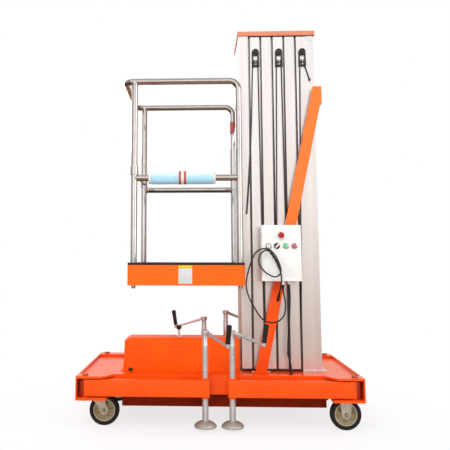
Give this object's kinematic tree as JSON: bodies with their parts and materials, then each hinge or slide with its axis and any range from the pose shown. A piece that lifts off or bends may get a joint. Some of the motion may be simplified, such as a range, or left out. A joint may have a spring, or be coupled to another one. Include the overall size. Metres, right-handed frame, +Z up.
{
  "type": "vertical mast lift",
  "caption": "Push-around vertical mast lift: aluminium telescoping mast, guarded platform, swing-out jack arms, power cover and control box on a castored base.",
  "frame": {"origin": "on the floor, under the middle of the base", "axes": "+Z up; +X along the base from the platform end to the mast end; +Y from the control-box side to the far side"},
  "size_m": [1.352, 1.0484, 2.018],
  "materials": {
    "orange_paint": "satin",
    "skirt_paint": "satin",
    "dark_red_paint": "satin",
    "anodised_aluminium": "satin",
    "chromed_tube": "polished",
    "zinc_plate": "satin",
    "cast_hub": "painted",
    "tyre_rubber": "matt",
    "cable_rubber": "matt",
    "black_plastic": "matt",
    "white_enamel": "satin",
    "red_plastic": "gloss",
    "green_plastic": "gloss",
    "cyan_foam": "matt",
    "deck_rubber": "ribbed"
  },
  "bodies": {
    "base": {"base_frame": "orange_paint", "underframe_pan": "dark_red_paint", "power_unit_cover": "orange_paint", "cover_knob": "black_plastic", "mast_section_1": "anodised_aluminium", "cable_sheave_1": "black_plastic", "mast_brace": "orange_paint", "control_box": "white_enamel", "emergency_stop": "red_plastic", "key_switch": "zinc_plate", "selector_switch": "black_plastic", "green_button": "green_plastic", "red_button": "red_plastic", "feed_cable": "cable_rubber", "control_cord": "cable_rubber", "cord_plug": "black_plastic", "rigid_fork_front": "zinc_plate", "rigid_fork_rear": "zinc_plate"},
    "mast_2": {"mast_section_2": "anodised_aluminium"},
    "mast_3": {"mast_section_3": "anodised_aluminium", "cable_sheave_3": "black_plastic"},
    "mast_4": {"mast_section_4": "anodised_aluminium"},
    "mast_5": {"mast_section_5": "anodised_aluminium", "cable_sheave_5": "black_plastic"},
    "mast_6": {"mast_section_6": "anodised_aluminium", "mast_cap": "orange_paint", "platform_carriage": "zinc_plate", "platform_tray": "skirt_paint", "deck_mat": "deck_rubber", "guard_rail": "chromed_tube", "rail_pad": "cyan_foam"},
    "entry_bar": {"entry_bar": "chromed_tube"},
    "arm_front_left": {"arm_front_left": "orange_paint"},
    "jack_front_left": {"jack_front_left": "zinc_plate", "crank_grip_front_left": "black_plastic"},
    "arm_front_right": {"arm_front_right": "orange_paint"},
    "jack_front_right": {"jack_front_right": "zinc_plate", "crank_grip_front_right": "black_plastic"},
    "arm_rear_left": {"arm_rear_left": "orange_paint"},
    "jack_rear_left": {"jack_rear_left": "zinc_plate", "crank_grip_rear_left": "black_plastic"},
    "arm_rear_right": {"arm_rear_right": "orange_paint"},
    "jack_rear_right": {"jack_rear_right": "zinc_plate", "crank_grip_rear_right": "black_plastic"},
    "wheel_left_front": {"hub_left_front": "cast_hub", "tyre_left_front": "tyre_rubber"},
    "wheel_right_front": {"hub_right_front": "cast_hub", "tyre_right_front": "tyre_rubber"},
    "swivel_front": {"swivel_fork_front": "zinc_plate"},
    "wheel_left_rear": {"hub_left_rear": "cast_hub", "tyre_left_rear": "tyre_rubber"},
    "wheel_right_rear": {"hub_right_rear": "cast_hub", "tyre_right_rear": "tyre_rubber"},
    "swivel_rear": {"swivel_fork_rear": "zinc_plate"}
  },
  "joints": [
    {"name": "mast_2_slide", "type": "slide", "parent": "base", "child": "mast_2", "axis": [0, 0, 1], "range_m": [0, 1.4]},
    {"name": "mast_3_slide", "type": "slide", "parent": "mast_2", "child": "mast_3", "axis": [0, 0, 1], "range_m": [0, 1.4]},
    {"name": "mast_4_slide", "type": "slide", "parent": "mast_3", "child": "mast_4", "axis": [0, 0, 1], "range_m": [0, 1.4]},
    {"name": "mast_5_slide", "type": "slide", "parent": "mast_4", "child": "mast_5", "axis": [0, 0, 1], "range_m": [0, 1.4]},
    {"name": "mast_6_slide", "type": "slide", "parent": "mast_5", "child": "mast_6", "axis": [0, 0, 1], "range_m": [0, 1.4]},
    {"name": "entry_bar_slide", "type": "slide", "parent": "mast_6", "child": "entry_bar", "axis": [0, 0, 1], "range_m": [0, 0.35]},
    {"name": "arm_swing_front_left", "type": "hinge", "parent": "base", "child": "arm_front_left", "pos_m": [-0.636, -0.37, 0.1975], "axis": [0, 0, -1], "range_deg": [0, 90]},
    {"name": "jack_screw_front_left", "type": "slide", "parent": "arm_front_left", "child": "jack_front_left", "axis": [0, 0, 1], "range_m": [-0.08, 0.05]},
    {"name": "arm_swing_front_right", "type": "hinge", "parent": "base", "child": "arm_front_right", "pos_m": [0.636, -0.37, 0.1975], "axis": [0, 0, 1], "range_deg": [0, 90]},
    {"name": "jack_screw_front_right", "type": "slide", "parent": "arm_front_right", "child": "jack_front_right", "axis": [0, 0, 1], "range_m": [-0.08, 0.05]},
    {"name": "arm_swing_rear_left", "type": "hinge", "parent": "base", "child": "arm_rear_left", "pos_m": [-0.636, 0.37, 0.1975], "axis": [0, 0, 1], "range_deg": [0, 90]},
    {"name": "jack_screw_rear_left", "type": "slide", "parent": "arm_rear_left", "child": "jack_rear_left", "axis": [0, 0, 1], "range_m": [-0.08, 0.05]},
    {"name": "arm_swing_rear_right", "type": "hinge", "parent": "base", "child": "arm_rear_right", "pos_m": [0.636, 0.37, 0.1975], "axis": [0, 0, -1], "range_deg": [0, 90]},
    {"name": "jack_screw_rear_right", "type": "slide", "parent": "arm_rear_right", "child": "jack_rear_right", "axis": [0, 0, 1], "range_m": [-0.08, 0.05]},
    {"name": "swivel_turn_front", "type": "hinge", "parent": "base", "child": "swivel_front", "pos_m": [-0.589, -0.272, 0.164], "axis": [0, 0, 1], "continuous": true},
    {"name": "wheel_spin_left_front", "type": "hinge", "parent": "swivel_front", "child": "wheel_left_front", "pos_m": [-0.555, -0.272, 0.0735], "axis": [0, 1, 0], "continuous": true},
    {"name": "wheel_spin_right_front", "type": "hinge", "parent": "base", "child": "wheel_right_front", "pos_m": [0.6, -0.313, 0.0735], "axis": [0, 1, 0], "continuous": true},
    {"name": "swivel_turn_rear", "type": "hinge", "parent": "base", "child": "swivel_rear", "pos_m": [-0.589, 0.272, 0.164], "axis": [0, 0, 1], "continuous": true},
    {"name": "wheel_spin_left_rear", "type": "hinge", "parent": "swivel_rear", "child": "wheel_left_rear", "pos_m": [-0.555, 0.272, 0.0735], "axis": [0, 1, 0], "continuous": true},
    {"name": "wheel_spin_right_rear", "type": "hinge", "parent": "base", "child": "wheel_right_rear", "pos_m": [0.6, 0.313, 0.0735], "axis": [0, 1, 0], "continuous": true}
  ],
  "couplings": [
    {"joint": "mast_3_slide", "follows": "mast_2_slide", "ratio": 1},
    {"joint": "mast_4_slide", "follows": "mast_2_slide", "ratio": 1},
    {"joint": "mast_5_slide", "follows": "mast_2_slide", "ratio": 1},
    {"joint": "mast_6_slide", "follows": "mast_2_slide", "ratio": 1}
  ]
}
